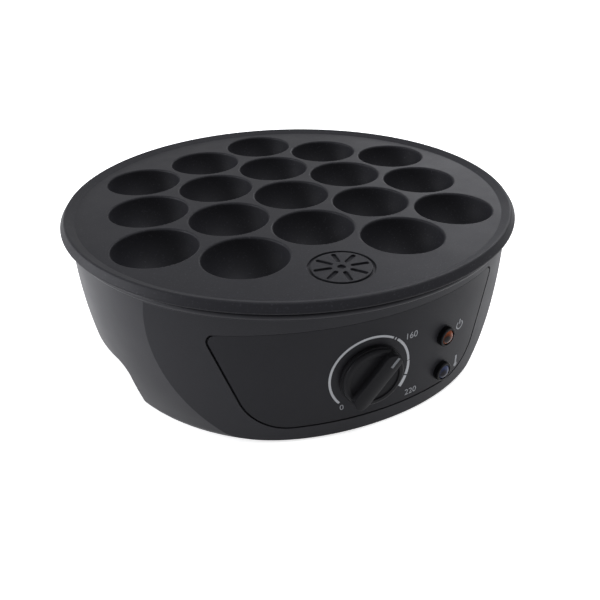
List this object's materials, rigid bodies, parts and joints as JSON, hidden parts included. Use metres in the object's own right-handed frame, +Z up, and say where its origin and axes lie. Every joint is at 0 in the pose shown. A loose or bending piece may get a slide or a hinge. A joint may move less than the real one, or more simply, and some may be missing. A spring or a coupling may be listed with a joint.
{
  "type": "cake pop maker",
  "caption": "Round electric countertop cooker with an open cast plate of ball-shaped cups on a moulded body, with a thermostat dial and indicator lamps on its front panel.",
  "frame": {"origin": "on the table under the middle of the round plate", "axes": "+Z up, front panel and dial towards -Y, lamps towards +X of the dial"},
  "size_m": [0.252, 0.252, 0.091],
  "materials": {
    "nonstick_aluminium": "cast aluminium under a fine-grained dark grey non-stick coat",
    "heater_sheath": "heat-darkened steel tube",
    "steatite": null,
    "zinc_plated_steel": "zinc-plated steel",
    "aluminised_steel": "aluminised sheet steel",
    "aluminium_rivet": "plain",
    "body_plastic": "black satin moulding",
    "panel_plastic": "black satin moulding with a pale printed scale",
    "base_plastic": "black moulding",
    "foot_rubber": "matt",
    "knob_plastic": "black semi-gloss moulding",
    "pointer_plastic": "pale grey inlay",
    "shaft_steel": "turned steel",
    "thermostat_case": "cream moulding",
    "tab_brass": "plain",
    "capillary_copper": null,
    "orange_lens": "clear tinted moulding",
    "blue_lens": "clear tinted moulding",
    "bezel_plastic": "black gloss",
    "neon_glass": "clear glass",
    "plug_plastic": "dark moulding",
    "block_plastic": "white moulding",
    "gland_plastic": "black moulding",
    "fuse_case": "coated case",
    "lead_sleeve": "white silicone sleeve"
  },
  "bodies": {
    "cooker": {"cooking_plate": "nonstick_aluminium", "heating_element": "heater_sheath", "heater_terminals": "steatite", "heater_clamps": "zinc_plated_steel", "shield_spacers": "zinc_plated_steel", "shield_screws": "zinc_plated_steel", "plate_screws": "zinc_plated_steel", "base_screws": "zinc_plated_steel", "thermostat_nut": "zinc_plated_steel", "sensor_clip": "zinc_plated_steel", "sensor_screws": "zinc_plated_steel", "terminal_screw": "zinc_plated_steel", "fuse_clip": "zinc_plated_steel", "lamp_retainers": "zinc_plated_steel", "heat_shield": "aluminised_steel", "fuse_rivets": "aluminium_rivet", "body_shell": "body_plastic", "control_panel": "panel_plastic", "base_cover": "base_plastic", "rubber_feet": "foot_rubber", "thermostat_body": "thermostat_case", "thermostat_tabs": "tab_brass", "capillary_sensor": "capillary_copper", "power_lamp_lens": "orange_lens", "heat_lamp_lens": "blue_lens", "lamp_bezels": "bezel_plastic", "neon_bulbs": "neon_glass", "lamp_plugs": "plug_plastic", "terminal_block": "block_plastic", "cord_gland": "gland_plastic", "gland_nut": "gland_plastic", "thermal_fuse": "fuse_case", "main_leads": "lead_sleeve", "lamp_leads": "lead_sleeve"},
    "dial": {"control_knob": "knob_plastic", "knob_pointer": "pointer_plastic", "thermostat_shaft": "shaft_steel"}
  },
  "joints": [
    {"name": "knob_turn", "type": "hinge", "parent": "cooker", "child": "dial", "pos_m": [0, -0.107, 0.0345], "axis": [0, 1, 0], "range_deg": [-169, 90]}
  ]
}
